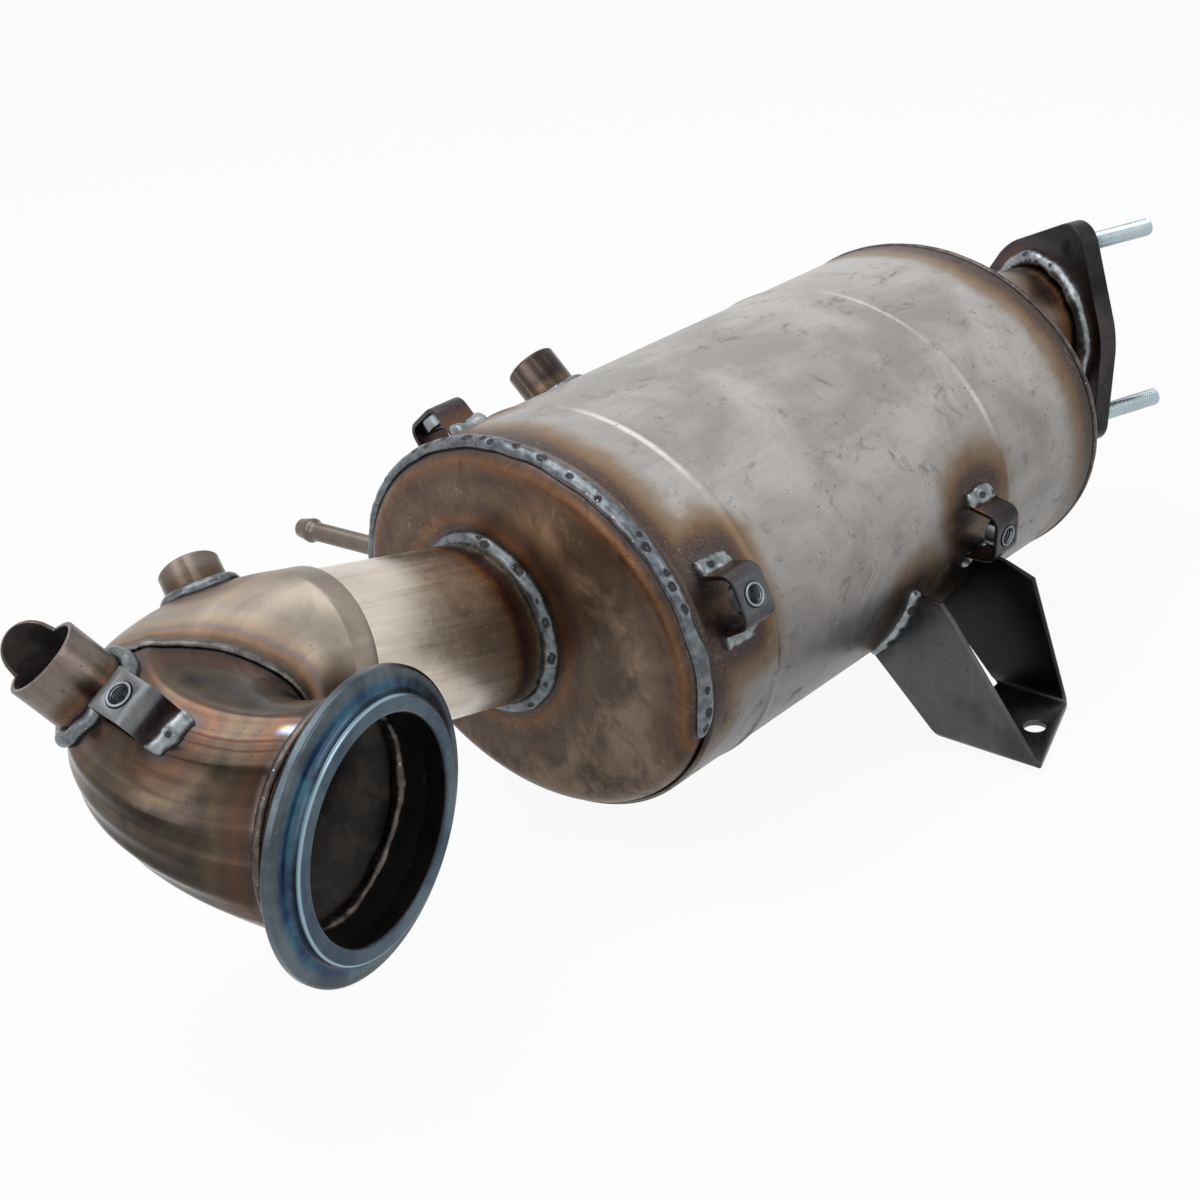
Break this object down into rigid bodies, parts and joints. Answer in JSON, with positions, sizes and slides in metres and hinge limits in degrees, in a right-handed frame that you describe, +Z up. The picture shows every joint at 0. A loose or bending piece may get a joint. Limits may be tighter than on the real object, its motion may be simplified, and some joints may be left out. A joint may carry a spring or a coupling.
{
  "type": "diesel particulate filter",
  "caption": "Oval steel exhaust filter can with a welded, angled inlet elbow, a clamp flange at the inlet and a bolted plate flange at the outlet.",
  "frame": {"origin": "on the can's own axis, at the front edge of its shell, where the front cap is welded on", "axes": "+X runs along the can from the inlet end to the outlet end, +Z points up across the can's flatter way, +Y points away from the side with the support bracket"},
  "size_m": [0.5697, 0.2806, 0.1606],
  "materials": {
    "can_shell": "satin",
    "catalyst_brick": "porous",
    "catalyst_mat": "fibrous",
    "elbow_seam_weld": "as welded",
    "far_stud": "zinc plated",
    "filter_brick": "porous",
    "filter_mat": "fibrous",
    "front_cap": "heat tinted",
    "front_cap_weld": "as welded",
    "hat_bracket_elbow": "dark, as rolled",
    "hat_bracket_elbow_weld_a": "as welded",
    "hat_bracket_front_far": "dark, as rolled",
    "hat_bracket_front_far_weld_a": "as welded",
    "hat_bracket_front_far_weld_b": "as welded",
    "hat_bracket_front_near": "dark, as rolled",
    "hat_bracket_front_near_weld_a": "as welded",
    "hat_bracket_front_near_weld_b": "as welded",
    "hat_bracket_rear_near": "dark, as rolled",
    "hat_bracket_rear_near_weld_a": "as welded",
    "hat_bracket_rear_near_weld_b": "as welded",
    "inlet_elbow": "satin, heat tinted",
    "inlet_flange": "heat blued",
    "inlet_flange_weld": "as welded",
    "inlet_pipe": "satin, heat tinted",
    "inlet_pipe_weld": "as welded",
    "lower_stud": "zinc plated",
    "outlet_flange": "dark, as rolled",
    "outlet_flange_weld": "as welded",
    "outlet_pipe": "satin, heat tinted",
    "outlet_pipe_weld": "as welded",
    "pressure_pipe": "turned",
    "pressure_pipe_weld": "as welded",
    "rear_cap": "heat tinted",
    "rear_cap_weld": "as welded",
    "sensor_boss_can": "turned",
    "sensor_boss_can_weld": "as welded",
    "sensor_boss_inlet": "turned",
    "sensor_boss_inlet_weld": "as welded",
    "side_stub": "turned",
    "side_stub_weld": "as welded",
    "support_bracket": "dark, as rolled",
    "support_bracket_weld_far": "as welded",
    "support_bracket_weld_near": "as welded",
    "transition_sleeve": "satin, heat tinted",
    "upper_stud": "zinc plated",
    "weld_nut_elbow": "zinc plated",
    "weld_nut_front_far": "zinc plated",
    "weld_nut_front_near": "zinc plated",
    "weld_nut_rear_near": "zinc plated"
  },
  "bodies": {
    "root": {"can_shell": "can_shell", "catalyst_brick": "catalyst_brick", "catalyst_mat": "catalyst_mat", "elbow_seam_weld": "elbow_seam_weld", "far_stud": "far_stud", "filter_brick": "filter_brick", "filter_mat": "filter_mat", "front_cap": "front_cap", "front_cap_weld": "front_cap_weld", "hat_bracket_elbow": "hat_bracket_elbow", "hat_bracket_elbow_weld_a": "hat_bracket_elbow_weld_a", "hat_bracket_front_far": "hat_bracket_front_far", "hat_bracket_front_far_weld_a": "hat_bracket_front_far_weld_a", "hat_bracket_front_far_weld_b": "hat_bracket_front_far_weld_b", "hat_bracket_front_near": "hat_bracket_front_near", "hat_bracket_front_near_weld_a": "hat_bracket_front_near_weld_a", "hat_bracket_front_near_weld_b": "hat_bracket_front_near_weld_b", "hat_bracket_rear_near": "hat_bracket_rear_near", "hat_bracket_rear_near_weld_a": "hat_bracket_rear_near_weld_a", "hat_bracket_rear_near_weld_b": "hat_bracket_rear_near_weld_b", "inlet_elbow": "inlet_elbow", "inlet_flange": "inlet_flange", "inlet_flange_weld": "inlet_flange_weld", "inlet_pipe": "inlet_pipe", "inlet_pipe_weld": "inlet_pipe_weld", "lower_stud": "lower_stud", "outlet_flange": "outlet_flange", "outlet_flange_weld": "outlet_flange_weld", "outlet_pipe": "outlet_pipe", "outlet_pipe_weld": "outlet_pipe_weld", "pressure_pipe": "pressure_pipe", "pressure_pipe_weld": "pressure_pipe_weld", "rear_cap": "rear_cap", "rear_cap_weld": "rear_cap_weld", "sensor_boss_can": "sensor_boss_can", "sensor_boss_can_weld": "sensor_boss_can_weld", "sensor_boss_inlet": "sensor_boss_inlet", "sensor_boss_inlet_weld": "sensor_boss_inlet_weld", "side_stub": "side_stub", "side_stub_weld": "side_stub_weld", "support_bracket": "support_bracket", "support_bracket_weld_far": "support_bracket_weld_far", "support_bracket_weld_near": "support_bracket_weld_near", "transition_sleeve": "transition_sleeve", "upper_stud": "upper_stud", "weld_nut_elbow": "weld_nut_elbow", "weld_nut_front_far": "weld_nut_front_far", "weld_nut_front_near": "weld_nut_front_near", "weld_nut_rear_near": "weld_nut_rear_near"}
  },
  "joints": []
}
